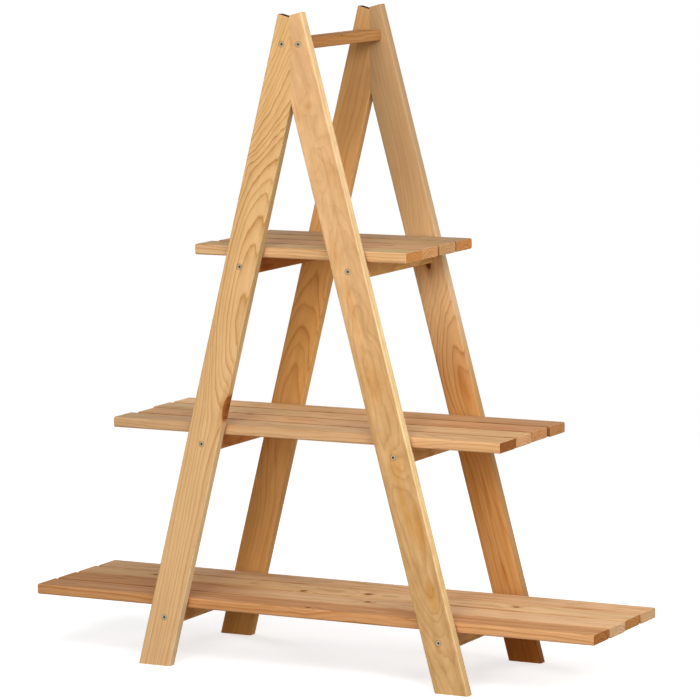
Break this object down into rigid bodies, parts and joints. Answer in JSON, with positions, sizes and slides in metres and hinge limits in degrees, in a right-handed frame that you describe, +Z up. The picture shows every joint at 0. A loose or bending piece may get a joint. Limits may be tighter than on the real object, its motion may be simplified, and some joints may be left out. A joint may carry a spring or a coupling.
{
  "type": "tiered plant stand",
  "caption": "A-frame plant stand of planed pine boards: slatted shelves, shorter towards the top, carried on battens between front and rear leg frames, with a short rail near the tip.",
  "frame": {"origin": "on the floor, under the middle of the stand", "axes": "+X to the right along the shelves, +Y from the front frame to the rear frame, +Z up"},
  "size_m": [1.2, 0.338, 1.2611],
  "materials": {
    "leg_pine": "planed pine, clear honey-coloured oil",
    "slat_pine": "planed pine, clear honey-coloured oil",
    "batten_pine": "planed pine, clear honey-coloured oil",
    "rail_pine": "planed pine, clear honey-coloured oil",
    "screw_steel": "zinc-plated steel"
  },
  "bodies": {
    "root": {"front_left_leg": "leg_pine", "front_right_leg": "leg_pine", "rear_left_leg": "leg_pine", "rear_right_leg": "leg_pine", "top_rail": "rail_pine", "lower_left_batten": "batten_pine", "lower_right_batten": "batten_pine", "lower_shelf_slat_1": "slat_pine", "lower_shelf_slat_2": "slat_pine", "lower_shelf_slat_3": "slat_pine", "lower_shelf_slat_4": "slat_pine", "lower_shelf_frame_screws": "screw_steel", "lower_shelf_slat_screws": "screw_steel", "middle_left_batten": "batten_pine", "middle_right_batten": "batten_pine", "middle_shelf_slat_1": "slat_pine", "middle_shelf_slat_2": "slat_pine", "middle_shelf_slat_3": "slat_pine", "middle_shelf_slat_4": "slat_pine", "middle_shelf_frame_screws": "screw_steel", "middle_shelf_slat_screws": "screw_steel", "upper_left_batten": "batten_pine", "upper_right_batten": "batten_pine", "upper_shelf_slat_1": "slat_pine", "upper_shelf_slat_2": "slat_pine", "upper_shelf_slat_3": "slat_pine", "upper_shelf_slat_4": "slat_pine", "upper_shelf_frame_screws": "screw_steel", "upper_shelf_slat_screws": "screw_steel", "top_rail_screws": "screw_steel"}
  },
  "joints": []
}
